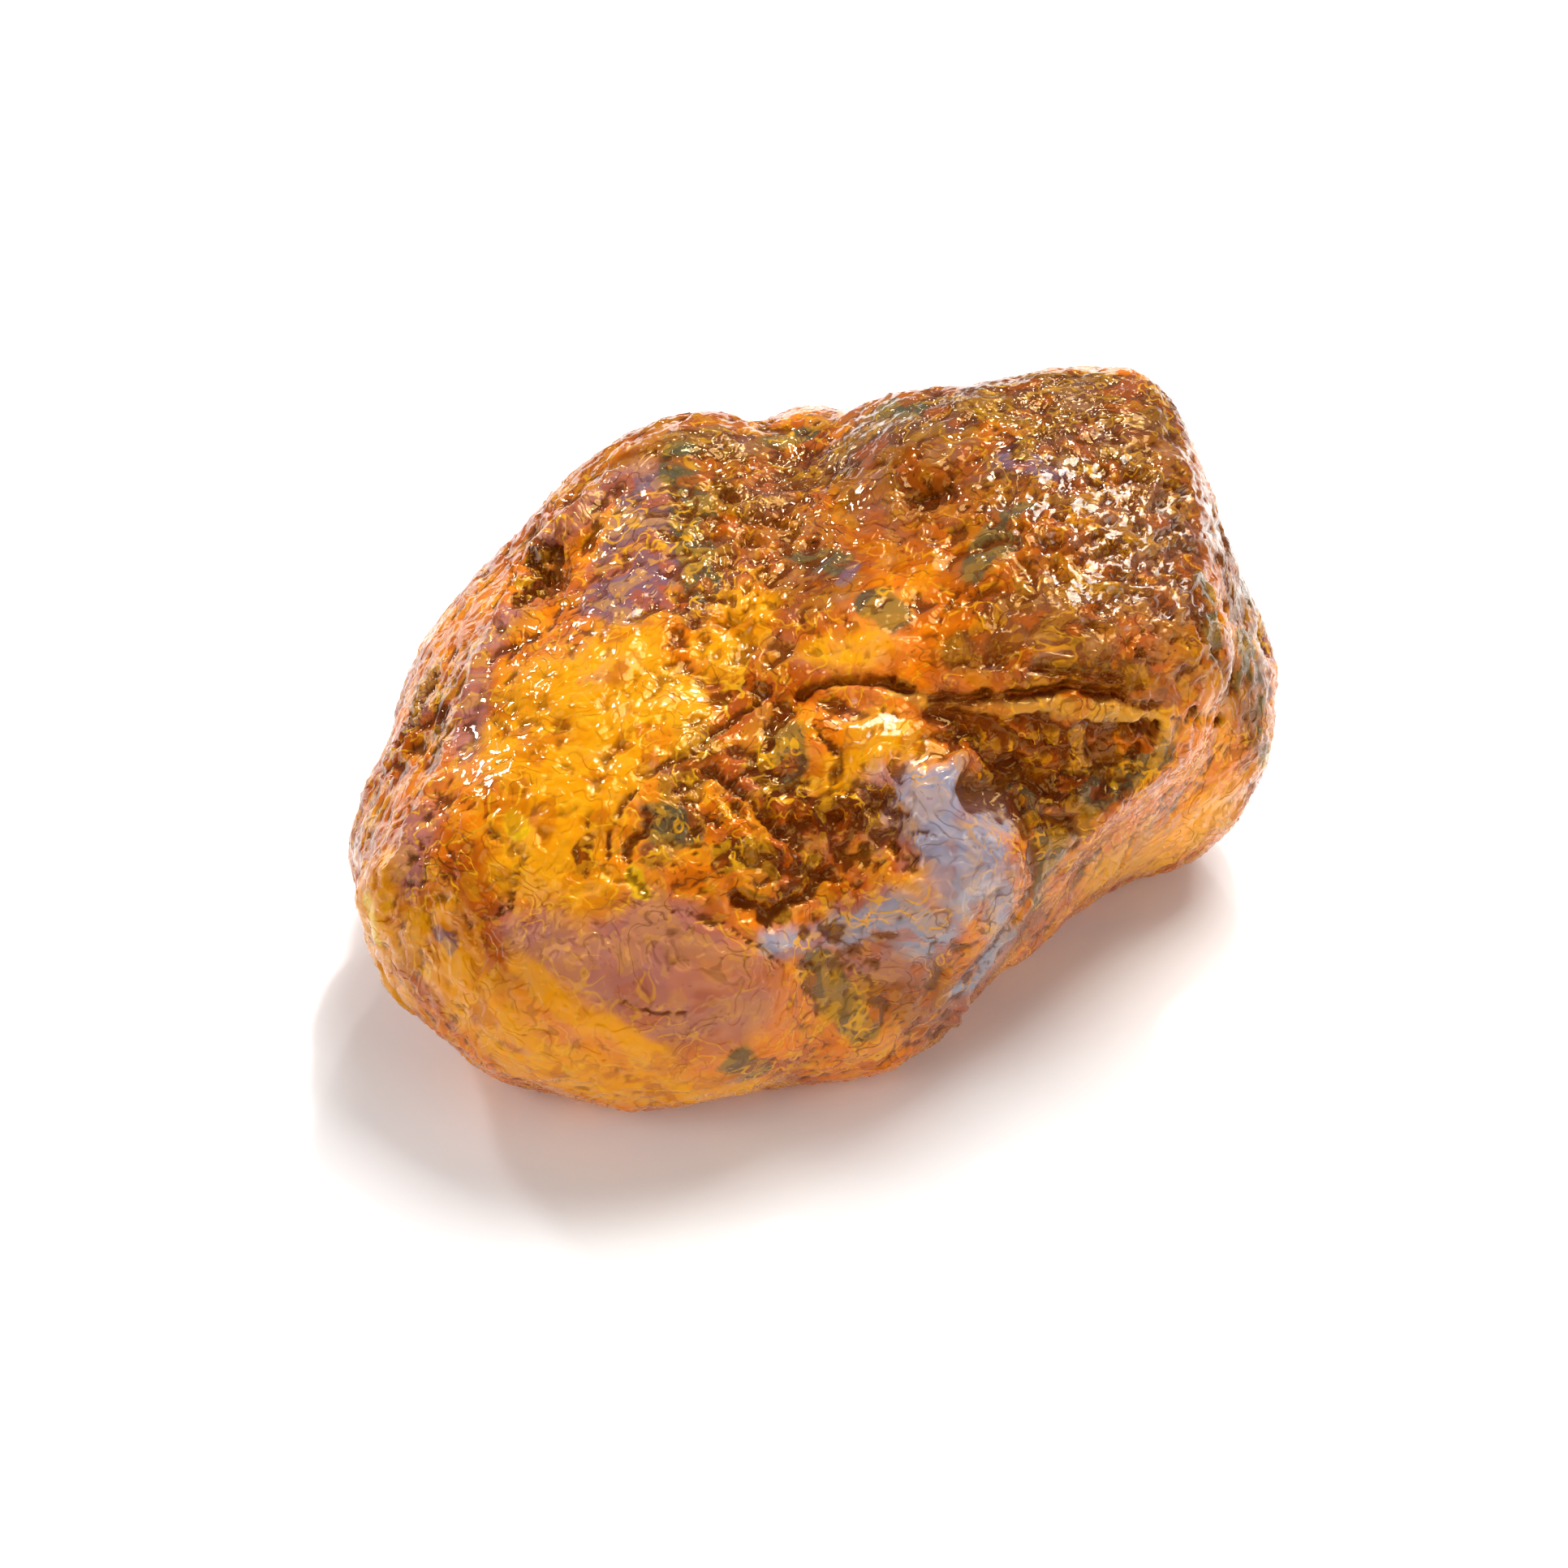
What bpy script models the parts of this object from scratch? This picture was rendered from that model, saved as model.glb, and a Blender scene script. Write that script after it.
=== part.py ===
"""A nugget of raw amber, 60 mm long, that lies on its own flat underside.

The nugget is one solid. Its form is a blend of rounded lumps, trimmed by broken faces and cut by
hollows, cracks and pits. Every direction from the middle of the nugget meets that form once, so a
ball of points is drawn in or out along those directions until it lies on the form.
Lengths in the tables are millimetres, and the finished mesh is in metres.
"""

from typing import NamedTuple

import bmesh
import bpy
import numpy as np
from mathutils import Vector, noise

MM = 0.001

# Driving dimensions, in millimetres
MIDDLE = (-1.0, -1.0, 13.0)
FURTHEST_REACH = 48.0
BALL_DIVISIONS = 7
KEPT_SHARE = 0.115
LUMP_BLEND = 3.5
UNEVEN_BY = 0.45
UNEVEN_EVERY = 5.5
UNEVEN_LAYERS = 2
TO_ORIGIN = (-0.26, -2.1)
FLOOR_BLOCK = (90.0, 80.0, 20.0)
RESIN_COLOUR = (0.72, 0.27, 0.04, 1.0)
RESIN_ROUGHNESS = 0.3

# How the points are drawn in: rounds, and the share of the distance that each round takes
ROUNDS = 90
SHARE_INWARD = 0.7
SHARE_OUTWARD = 0.35
FAR_OUTSIDE = 100.0
LEAST_STEEPNESS = 1e-6


class Lump(NamedTuple):
    """A rounded mass of resin: an ellipsoid, turned about the vertical axis."""

    centre: tuple[float, float, float]
    radii: tuple[float, float, float]
    turn: float = 0.0
    blend: float = LUMP_BLEND
    trim: str = ""


class Face(NamedTuple):
    """A broken or worn face: nothing stands beyond it, and its edges are rounded."""

    point: tuple[float, float, float]
    outward: tuple[float, float, float]
    rounding: float


class Line(NamedTuple):
    """A ridge, crack or valley along a line of points, as wide as twice its radius."""

    line: tuple[tuple[float, float, float], ...]
    radius: float
    rounding: float


LUMPS = {
    "left_body": Lump((-9.5, 3.0, 12.5), (18.0, 20.0, 14.0)),
    "belly": Lump((-11.0, -9.0, 11.0), (17.5, 13.7, 12.8)),
    "chin": Lump((0.6, -9.6, 7.9), (10.0, 8.5, 9.4), 0.0, 2.5, "nose_side"),
    "left_foot": Lump((-20.3, -3.0, 9.0), (9.3, 9.3, 9.3), 0.0, 1.2),
    "back_hump": Lump((-8.0, 14.3, 17.3), (11.5, 11.0, 11.5), 0.0, 3.0),
    "far_hump": Lump((-0.5, 18.3, 18.4), (5.5, 8.5, 8.5), 0.0, 1.2),
    "waist": Lump((1.0, 4.0, 14.0), (12.0, 16.0, 14.0), 0.0, 3.0),
    "block": Lump((12.0, 8.5, 18.0), (14.5, 16.0, 17.0), 0.0, 3.0),
    "block_shoulder": Lump((6.0, 10.8, 18.5), (8.0, 14.0, 13.0), 0.0, 2.5),
    "block_corner": Lump((18.3, 13.0, 20.8), (9.0, 11.0, 13.0), 0.0, 2.5),
    "block_brow": Lump((12.0, -0.6, 22.5), (13.5, 7.2, 8.0), 0.0, 3.0),
    "right_bulge": Lump((22.0, 9.0, 13.5), (8.7, 9.0, 10.5), 0.0, 2.0),
    "upper_bump": Lump((24.6, 12.0, 22.3), (3.7, 4.5, 5.0), 0.0, 1.5),
    "right_foot": Lump((20.5, 7.5, 8.6), (9.0, 8.0, 9.0), 0.0, 2.0),
    "keel": Lump((6.0, 3.0, 8.0), (16.0, 11.0, 9.0)),
    "nose": Lump((5.0, -9.5, 14.0), (8.5, 8.0, 10.0), -20.0, 1.5, "nose_side"),
    "nose_root": Lump((9.0, -6.0, 11.0), (7.6, 7.5, 8.2), 0.0, 1.5, "nose_side"),
    "shelf": Lump((14.8, -3.2, 15.8), (10.5, 7.6, 7.6), 15.0, 1.5, "ledge_side"),
    "middle_hump": Lump((1.0, -6.0, 18.5), (7.5, 6.0, 8.0), 0.0, 2.0),
}

RIDGES = {
    "left_rim": Line(
        (
            (-25.0, -13.0, 14.0),
            (-22.0, -7.0, 18.7),
            (-20.0, 2.0, 21.2),
            (-16.0, 11.0, 23.5),
            (-12.5, 17.0, 24.3),
        ),
        2.4,
        2.0,
    ),
    "nose_edge": Line(((10.0, -12.3, 19.5), (11.0, -13.0, 16.0), (8.0, -15.0, 11.0)), 1.2, 1.5),
}

TRIMS = {
    "nose_side": Face((10.4, -14.5, 14.5), (0.75, -0.62, -0.15), 1.0),
    "ledge_side": Face((19.5, -7.2, 17.0), (0.66, -0.62, -0.42), 1.0),
}

FACES = {
    "left_flank": Face((-22.5, -7.0, 21.0), (-0.62, 0.05, 0.78), 2.5),
    "block_top": Face((14.0, 6.0, 33.0), (0.05, -0.05, 1.0), 5.0),
    "block_side": Face((26.0, 6.0, 25.0), (0.88, 0.05, 0.4), 2.0),
    "plateau": Face((-10.0, 4.0, 27.5), (-0.15, -0.1, 1.0), 5.0),
    "front_slope": Face((-8.0, -17.0, 21.5), (0.0, -0.6, 0.8), 4.0),
    "front_foot": Face((-20.8, -18.1, 4.7), (-0.45, -0.7, -0.55), 2.0),
    "front_left": Face((-22.8, -17.9, 13.1), (-0.6, -0.75, 0.2), 1.5),
    "left_foot_face": Face((-27.2, -3.6, 4.5), (-0.8, -0.05, -0.6), 1.5),
    "back_left": Face((-16.0, 20.0, 16.4), (-0.65, 0.75, 0.1), 1.5),
    "back_top": Face((-11.7, 21.6, 25.0), (-0.35, 0.55, 0.75), 2.0),
    "back_low": Face((-11.6, 18.3, 5.9), (-0.1, 0.7, -0.7), 1.5),
    "back_right": Face((19.4, 22.1, 19.2), (0.35, 0.93, -0.1), 1.5),
    "right_back": Face((23.7, 19.6, 22.7), (0.85, 0.5, 0.15), 2.0),
    "right_low": Face((26.9, 8.4, 4.2), (0.8, 0.2, -0.55), 1.5),
}

HOLLOWS = {
    "under_brow": Lump((13.5, -10.3, 21.2), (5.5, 2.6, 1.8), 6.0, 1.2),
    "under_brow_end": Lump((18.5, -8.6, 20.6), (3.0, 2.0, 1.3), 25.0, 1.0),
    "centre_pit": Lump((1.5, -16.4, 20.4), (3.4, 2.6, 2.4), 0.0, 0.8),
    "pit_left": Lump((-2.6, -16.8, 21.2), (2.3, 1.8, 1.8), 0.0, 0.6),
    "pit_right": Lump((4.6, -15.4, 21.4), (1.5, 1.9, 2.4), 0.0, 0.6),
    "back_dent": Lump((9.0, 27.0, 14.0), (8.0, 6.0, 9.0), 0.0, 2.5),
    "back_chip": Lump((-16.0, 20.5, 11.0), (4.0, 3.0, 5.0), 30.0, 1.0),
    "back_pit": Lump((17.5, 22.0, 11.0), (1.6, 2.5, 1.9), 0.0, 0.8),
    "right_pit": Lump((29.2, 8.0, 17.5), (1.6, 1.6, 1.4), 0.0, 0.8),
    "top_pit": Lump((7.0, 7.5, 30.6), (1.9, 1.5, 2.4), 0.0, 0.6),
    "flank_pit": Lump((-17.2, 7.8, 24.0), (1.6, 3.4, 2.2), 0.0, 0.8),
    "fold_pit": Lump((-14.0, -16.8, 21.8), (0.9, 0.9, 1.2), 0.0, 0.5),
}

GROOVES = {
    "brow_crack": Line(
        (
            (-0.8, -7.0, 25.8),
            (4.9, -8.2, 25.4),
            (9.4, -9.0, 24.2),
            (14.5, -9.4, 22.9),
            (19.5, -8.3, 21.6),
            (24.0, -5.3, 20.2),
        ),
        0.9,
        0.8,
    ),
    "upper_crack": Line(
        ((9.0, -8.0, 27.0), (15.0, -8.8, 26.6), (20.5, -8.0, 25.0), (24.0, -5.5, 22.5)), 0.5, 0.6
    ),
    "left_crack": Line(
        ((-14.0, -16.8, 21.8), (-10.0, -14.5, 22.8), (-6.5, -11.5, 23.6), (-2.0, -7.5, 25.0)), 0.7, 0.8
    ),
    "belly_fold": Line(
        ((-14.0, -16.8, 21.8), (-9.5, -18.3, 20.5), (-3.5, -18.7, 18.5), (2.0, -18.3, 16.0)), 0.7, 1.0
    ),
    "foot_crease": Line(((-27.3, -10.0, 13.0), (-26.0, -14.0, 8.0), (-22.5, -15.5, 3.0)), 0.7, 1.0),
    "nose_valley": Line(
        ((4.4, -13.5, 20.6), (5.0, -11.0, 23.5), (8.0, -9.3, 24.0), (10.5, -8.8, 23.5)), 0.6, 1.2
    ),
    "saddle": Line(((-0.7, 26.0, 31.5), (-2.0, 14.0, 32.0), (-4.0, 5.0, 33.0)), 4.0, 5.0),
}


def turned(points: np.ndarray, centre: tuple, degrees: float) -> np.ndarray:
    """The points as seen from a centre that is turned about the vertical axis."""
    angle = np.radians(degrees)
    across, along = np.cos(angle), np.sin(angle)
    moved = points - np.array(centre)
    return np.column_stack(
        (
            moved[:, 0] * across + moved[:, 1] * along,
            moved[:, 1] * across - moved[:, 0] * along,
            moved[:, 2],
        )
    )


def lump_distance(points: np.ndarray, lump: Lump) -> np.ndarray:
    """About how far each point lies outside an ellipsoid."""
    local = turned(points, lump.centre, lump.turn)
    radii = np.array(lump.radii)
    nearness = np.linalg.norm(local / radii, axis=1)
    steepness = np.linalg.norm(local / radii**2, axis=1)
    return nearness * (nearness - 1.0) / np.maximum(steepness, LEAST_STEEPNESS)


def line_distance(points: np.ndarray, path: Line) -> np.ndarray:
    """How far each point lies outside the round bar that runs along a line."""
    nearest = np.full(len(points), np.inf)
    for start, end in zip(path.line, path.line[1:]):
        run = np.array(end) - np.array(start)
        offset = points - np.array(start)
        share = np.clip(offset @ run / (run @ run), 0.0, 1.0)
        nearest = np.minimum(nearest, np.linalg.norm(offset - share[:, None] * run, axis=1))
    return nearest - path.radius


def blended_least(first: np.ndarray, second: np.ndarray, width: float) -> np.ndarray:
    """The lesser of two distances, rounded where they meet: it joins two shapes."""
    overlap = np.maximum(width - np.abs(first - second), 0.0) / width
    return np.minimum(first, second) - overlap**2 * width / 4.0


def blended_most(first: np.ndarray, second: np.ndarray, width: float) -> np.ndarray:
    """The greater of two distances, rounded where they meet: it trims one shape by another."""
    return -blended_least(-first, -second, width)


def trimmed(distance: np.ndarray, points: np.ndarray, face: Face) -> np.ndarray:
    """The distance outside a shape once what stands beyond a face is taken off it."""
    outward = np.array(face.outward) / np.linalg.norm(face.outward)
    return blended_most(distance, (points - np.array(face.point)) @ outward, face.rounding)


def form_distance(points: np.ndarray) -> np.ndarray:
    """About how far each point lies outside the nugget."""
    distance = np.full(len(points), FAR_OUTSIDE)
    for lump in LUMPS.values():
        mass = lump_distance(points, lump)
        if lump.trim:
            mass = trimmed(mass, points, TRIMS[lump.trim])
        distance = blended_least(distance, mass, lump.blend)
    for ridge in RIDGES.values():
        distance = blended_least(distance, line_distance(points, ridge), ridge.rounding)
    for face in FACES.values():
        distance = trimmed(distance, points, face)
    for hollow in HOLLOWS.values():
        distance = blended_most(distance, -lump_distance(points, hollow), hollow.blend)
    for groove in GROOVES.values():
        distance = blended_most(distance, -line_distance(points, groove), groove.rounding)
    return distance


def drawn_to_form(directions: np.ndarray) -> np.ndarray:
    """Where each direction from the middle first meets the nugget from outside."""
    reach = np.full(len(directions), FURTHEST_REACH)
    for _ in range(ROUNDS):
        distance = form_distance(np.array(MIDDLE) + directions * reach[:, None])
        reach -= distance * np.where(distance > 0.0, SHARE_INWARD, SHARE_OUTWARD)
    return np.array(MIDDLE) + directions * reach[:, None]


def unevenness(place: np.ndarray) -> float:
    """How far the worn skin stands out or in at a place, in millimetres."""
    return UNEVEN_BY * noise.fractal(Vector(place) / UNEVEN_EVERY, 1.0, 2.0, UNEVEN_LAYERS)


def nugget_mesh() -> bpy.types.Mesh:
    """A ball of points drawn onto the nugget's form."""
    ball = bmesh.new()
    bmesh.ops.create_icosphere(ball, subdivisions=BALL_DIVISIONS, radius=1.0)
    directions = np.array([vertex.co for vertex in ball.verts])
    directions /= np.linalg.norm(directions, axis=1)[:, None]
    for vertex, direction, place in zip(ball.verts, directions, drawn_to_form(directions)):
        skin = Vector(place + direction * unevenness(place))
        vertex.co = (skin + Vector((*TO_ORIGIN, 0.0))) * MM
    for face in ball.faces:
        face.smooth = True
    mesh = bpy.data.meshes.new("amber_lump")
    ball.to_mesh(mesh)
    ball.free()
    return mesh


def floor_cutter() -> bpy.types.Object:
    """A hidden block under z = 0. What it takes off leaves the flat underside."""
    block = bmesh.new()
    bmesh.ops.create_cube(block, size=1.0)
    for corner in block.verts:
        corner.co = Vector([side * share for side, share in zip(FLOOR_BLOCK, corner.co)]) * MM
    mesh = bpy.data.meshes.new("floor_cutter")
    block.to_mesh(mesh)
    block.free()
    cutter = bpy.data.objects.new("floor_cutter", mesh)
    cutter.location.z = -FLOOR_BLOCK[2] / 2.0 * MM
    cutter.display_type = "WIRE"
    cutter.hide_render = True
    return cutter


def amber_material() -> bpy.types.Material:
    """Translucent orange resin."""
    material = bpy.data.materials.new("amber")
    material.use_nodes = True
    shader = material.node_tree.nodes["Principled BSDF"]
    shader.inputs["Base Color"].default_value = RESIN_COLOUR
    shader.inputs["Roughness"].default_value = RESIN_ROUGHNESS
    shader.inputs["Metallic"].default_value = 0.0
    return material


def main() -> None:
    """Builds the nugget alone in an empty scene."""
    for thing in list(bpy.data.objects):
        bpy.data.objects.remove(thing)
    nugget = bpy.data.objects.new("amber_lump", nugget_mesh())
    nugget.data.materials.append(amber_material())
    cutter = floor_cutter()
    for thing in (nugget, cutter):
        bpy.context.scene.collection.objects.link(thing)
    fewer = nugget.modifiers.new("fewer_faces", "DECIMATE")
    fewer.ratio = KEPT_SHARE
    flat = nugget.modifiers.new("flat_underside", "BOOLEAN")
    flat.operation = "DIFFERENCE"
    flat.solver = "EXACT"
    flat.object = cutter


main()
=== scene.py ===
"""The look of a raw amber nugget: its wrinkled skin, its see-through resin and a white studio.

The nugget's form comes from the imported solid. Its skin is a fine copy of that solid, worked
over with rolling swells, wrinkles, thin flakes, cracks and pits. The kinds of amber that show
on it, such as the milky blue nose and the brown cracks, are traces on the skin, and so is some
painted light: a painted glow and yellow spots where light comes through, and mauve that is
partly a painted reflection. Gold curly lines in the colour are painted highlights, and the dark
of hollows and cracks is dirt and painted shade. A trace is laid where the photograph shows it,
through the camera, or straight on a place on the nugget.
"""

import logging
import math
from dataclasses import dataclass, field
from enum import Enum
from typing import ClassVar

import bpy
import numpy as np
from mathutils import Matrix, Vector, noise
from mathutils.bvhtree import BVHTree


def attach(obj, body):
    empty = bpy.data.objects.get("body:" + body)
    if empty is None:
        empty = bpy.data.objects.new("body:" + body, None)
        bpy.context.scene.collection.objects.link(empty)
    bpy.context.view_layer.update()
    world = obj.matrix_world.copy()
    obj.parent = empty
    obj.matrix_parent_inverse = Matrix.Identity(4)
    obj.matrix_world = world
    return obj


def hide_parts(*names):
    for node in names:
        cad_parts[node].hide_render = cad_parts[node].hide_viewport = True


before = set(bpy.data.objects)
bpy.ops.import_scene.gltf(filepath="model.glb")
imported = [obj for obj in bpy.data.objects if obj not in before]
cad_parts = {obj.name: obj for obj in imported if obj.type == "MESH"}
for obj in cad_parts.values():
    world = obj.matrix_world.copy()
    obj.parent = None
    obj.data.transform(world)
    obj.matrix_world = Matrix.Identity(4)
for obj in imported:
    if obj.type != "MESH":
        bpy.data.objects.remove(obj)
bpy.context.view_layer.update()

MM = 0.001
PHOTO_SIDE = 1932
Colour = tuple[float, float, float, float]
Levels = tuple[float, float]
Socket = bpy.types.NodeSocket
log = logging.getLogger("amber")


class Region(Enum):
    """A kind of amber, or of painted light, that shows on the skin. The value names its mask on the mesh."""

    PAINTED_GLOW = "glow"
    YELLOW = "yellow"
    HAZE_AND_REFLECTION = "haze_and_reflection"
    PLUM = "plum"
    MILKY_BLUE = "milky_blue"
    OLIVE = "olive"
    CRUST = "crust"
    BROWN = "brown"
    BAND = "band"
    TAWNY = "tawny"
    GLAZE = "glaze"


@dataclass(frozen=True)
class Trace:
    """A soft spot or streak on the skin, placed by the photograph's pixels.

    Args:
        pixels: The spot, or the points that the streak runs through.
        reach: How far it spreads to each side, in millimetres.
    """

    pixels: tuple[tuple[int, int], ...]
    reach: float


@dataclass(frozen=True)
class Patch:
    """A soft spot on a side that the photograph doesn't show.

    Args:
        place: Its middle in the row frame, in millimetres.
        reach: How far it spreads, in millimetres.
    """

    place: tuple[float, float, float]
    reach: float


@dataclass(frozen=True)
class Crease:
    """A crack or a raised line along the skin.

    Args:
        pixels: The points of the photograph that it runs through.
        width: Its half-width, in millimetres.
        depth: How deep it goes, in millimetres; below zero it stands out.
    """

    pixels: tuple[tuple[int, int], ...]
    width: float
    depth: float


# Where each kind of amber shows, and where light is painted: the glow and the yellow spots,
# and mauve that is partly a reflection. The patches are on the sides that the photograph hides.
TRACES: dict[Region, tuple[Trace | Patch, ...]] = {
    # Painted glow: bright orange where light comes through the resin, with painted glints.
    Region.PAINTED_GLOW: (
        Trace(((690, 860), (700, 940), (680, 1000)), 4.2),
        Trace(((770, 800), (740, 880)), 3.0),
        Trace(((640, 930), (620, 900)), 2.2),
        Trace(((740, 960), (770, 900), (830, 860)), 2.4),
        Trace(((640, 1070), (700, 1060), (730, 1090)), 2.4),
        Trace(((890, 800), (920, 760)), 1.8),
        Trace(((540, 1150), (580, 1240), (660, 1320), (800, 1345), (960, 1345)), 2.7),
        Trace(((455, 1090), (460, 1170), (480, 1220)), 2.6),
        Trace(((1040, 960), (1090, 900), (1130, 920)), 1.6),
        Trace(((1140, 1085), (1185, 1100)), 1.2),
        Trace(((1360, 1075), (1440, 1050), (1500, 1000)), 2.4),
        Trace(((640, 1190), (720, 1255), (820, 1300)), 1.0),
        Trace(((1190, 1105), (1200, 1130)), 0.6),
        Patch((-20.0, 12.0, 12.0), 5.0),
        Patch((4.0, 20.0, 8.0), 5.0),
        Patch((20.0, 14.0, 8.0), 4.5),
        Patch((-26.0, -2.0, 8.0), 4.0),
        Trace(((1020, 800), (1080, 800)), 1.2),
    ),
    # Painted glow: small bright yellow spots where light comes through.
    Region.YELLOW: (
        Trace(((783, 1072), (787, 1100)), 0.55),
        Trace(((625, 1010), (640, 1030)), 0.6),
        Trace(((455, 1120), (465, 1160)), 0.6),
    ),
    # Mauve: partly milky resin, partly a painted reflection of the lights.
    Region.HAZE_AND_REFLECTION: (
        Trace(((720, 1170), (800, 1215), (880, 1235)), 3.8),
        Trace(((790, 1130), (830, 1160)), 2.0),
        Trace(((640, 1140), (700, 1150)), 1.6),
        Trace(((860, 1160), (940, 1190)), 1.6),
        Trace(((572, 930), (585, 850), (620, 770)), 1.3),
        Trace(((680, 670), (730, 620), (790, 580)), 1.2),
        Trace(((520, 1010), (500, 1090)), 1.3),
        Trace(((1180, 1240), (1240, 1160)), 1.4),
        Trace(((1060, 1180), (1120, 1190)), 1.5),
        Patch((-10.0, 21.0, 10.0), 5.0),
        Patch((14.0, 20.0, 14.0), 4.0),
    ),
    Region.PLUM: (
        Trace(((810, 610), (775, 660), (765, 730)), 2.6),
        Trace(((835, 650), (825, 710)), 1.2),
        Trace(((1050, 700), (1035, 720)), 0.7),
        Trace(((1290, 580), (1250, 560)), 1.2),
        Trace(((555, 1165), (540, 1150)), 0.7),
        Trace(((1560, 800), (1550, 850)), 0.9),
        Patch((-14.0, 20.0, 16.0), 3.0),
        Patch((8.0, 21.0, 16.0), 2.5),
    ),
    Region.MILKY_BLUE: (
        Trace(((1130, 1000), (1175, 1030), (1200, 1080)), 3.0),
        Trace(((1170, 970), (1225, 1010)), 1.8),
        Trace(((1040, 1150), (1100, 1125), (1150, 1160)), 1.6),
        Trace(((1240, 1080), (1230, 1150), (1190, 1210)), 1.2),
        Trace(((955, 1165), (1000, 1160)), 0.9),
    ),
    Region.OLIVE: (
        Trace(((1010, 1190), (1035, 1230), (1060, 1265)), 1.3),
        Trace(((965, 905), (975, 950)), 1.4),
        Trace(((1205, 695), (1225, 665)), 1.4),
        Trace(((1240, 635), (1260, 625)), 0.9),
        Trace(((985, 685), (1030, 695)), 1.1),
        Trace(((835, 560), (850, 640), (865, 720)), 1.4),
        Trace(((950, 545), (990, 540)), 1.2),
        Trace(((1080, 740), (1110, 760)), 1.2),
        Trace(((805, 1010), (850, 1020)), 1.1),
        Trace(((1090, 500), (1130, 500)), 1.1),
        Trace(((1525, 640), (1540, 700), (1530, 780), (1550, 860)), 1.6),
        Trace(((1340, 990), (1390, 950), (1430, 920)), 1.2),
        Trace(((1210, 945), (1250, 965), (1295, 1040), (1275, 1110)), 1.2),
        Trace(((910, 1305), (930, 1320)), 1.2),
        Trace(((1540, 900), (1560, 930)), 1.0),
        Trace(((1480, 720), (1500, 790)), 1.2),
        Patch((2.0, 21.0, 20.0), 2.5),
        Patch((-6.0, 20.0, 7.0), 2.0),
        Patch((24.0, 14.0, 18.0), 2.5),
    ),
    Region.CRUST: (
        Trace(((1090, 520), (1200, 495), (1330, 480), (1430, 500)), 3.2),
        Trace(((900, 620), (960, 600), (1040, 570)), 2.4),
        Trace(((1300, 560), (1380, 620), (1430, 700)), 4.2),
        Trace(((1240, 760), (1330, 740)), 2.4),
        Trace(((840, 540), (900, 540)), 1.8),
        Trace(((880, 680), (870, 760)), 1.6),
        Trace(((530, 840), (510, 900)), 1.0),
        Trace(((1180, 800), (1260, 800), (1400, 820)), 1.4),
        Trace(((1500, 640), (1520, 740)), 1.6),
        Trace(((860, 900), (820, 1040)), 1.4),
        Patch((12.0, 20.0, 20.0), 8.0),
        Patch((-12.0, 19.0, 18.0), 6.0),
        Patch((27.0, 10.0, 16.0), 4.0),
        Patch((2.0, 19.0, 9.0), 5.0),
    ),
    Region.BROWN: (
        Trace(((1190, 890), (1270, 910), (1340, 905), (1400, 895)), 1.4),
        Trace(((1220, 935), (1290, 950), (1350, 930)), 1.6),
        Trace(((1290, 1000), (1325, 1015)), 1.5),
        Trace(((990, 1000), (1040, 1010), (1080, 990)), 1.2),
        Trace(((900, 1050), (950, 1060)), 1.0),
        Trace(((910, 1110), (970, 1130)), 0.6),
        Trace(((1000, 1060), (970, 1100)), 0.7),
        Trace(((930, 940), (960, 980)), 0.7),
        Trace(((1130, 600), (1165, 605)), 1.0),
        Trace(((670, 680), (655, 740)), 1.0),
        Trace(((715, 1045), (720, 1060)), 0.7),
        Trace(((910, 850), (950, 850)), 0.6),
        Trace(((1240, 540), (1260, 560)), 0.8),
        Trace(((1300, 820), (1400, 850)), 0.6),
        Trace(((1470, 740), (1480, 770)), 0.8),
        Trace(((545, 860), (540, 930)), 0.5),
        Patch((-3.0, 24.0, 16.0), 2.5),
        Patch((21.0, 17.0, 12.0), 2.0),
        Patch((-20.0, 14.0, 9.0), 2.5),
    ),
    Region.TAWNY: (
        Trace(((1080, 560), (1200, 640), (1300, 720), (1420, 760)), 6.0),
        Trace(((900, 560), (960, 640), (1000, 720)), 4.0),
        Trace(((860, 540), (780, 580)), 2.5),
        Trace(((1300, 500), (1440, 560), (1510, 680)), 5.0),
        Trace(((1500, 780), (1550, 860)), 3.0),
        Trace(((1180, 800), (1400, 830)), 2.0),
        Trace(((1100, 1200), (1180, 1250), (1250, 1150)), 3.0),
        Patch((10.0, 16.0, 22.0), 11.0),
        Patch((-10.0, 18.0, 20.0), 9.0),
        Patch((25.0, 13.0, 14.0), 6.0),
    ),
    Region.GLAZE: (
        Trace(((1290, 600), (1360, 640), (1430, 660)), 4.6),
        Trace(((1350, 720), (1440, 740)), 2.4),
        Trace(((1440, 560), (1490, 640)), 2.4),
        Trace(((585, 900), (592, 960)), 1.6),
        Trace(((1170, 1000), (1210, 1080)), 2.6),
        Trace(((1080, 890), (1100, 910)), 2.2),
        Trace(((1020, 695), (1060, 715)), 1.6),
        Trace(((700, 790), (760, 760)), 2.2),
        Trace(((1000, 480), (1100, 520)), 2.2),
        Patch((14.0, 18.0, 20.0), 6.0),
        Patch((-8.0, 20.0, 14.0), 4.0),
    ),
    Region.BAND: (
        Trace(((1105, 850), (1160, 868), (1220, 868), (1300, 874), (1380, 884), (1450, 898)), 0.62),
    ),
}

# Where the skin is broken up.
RUGGED: tuple[Trace | Patch, ...] = (
    Trace(((900, 1000), (980, 1040), (1070, 1010)), 3.2),
    Trace(((1200, 900), (1300, 930), (1390, 910)), 2.6),
    Trace(((1130, 600), (1165, 605)), 1.6),
    Trace(((680, 680), (655, 740)), 2.0),
    Trace(((530, 850), (500, 920)), 1.6),
    Trace(((1300, 640), (1400, 620), (1420, 720)), 5.0),
    Trace(((870, 640), (960, 640), (880, 760)), 3.0),
)

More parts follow.
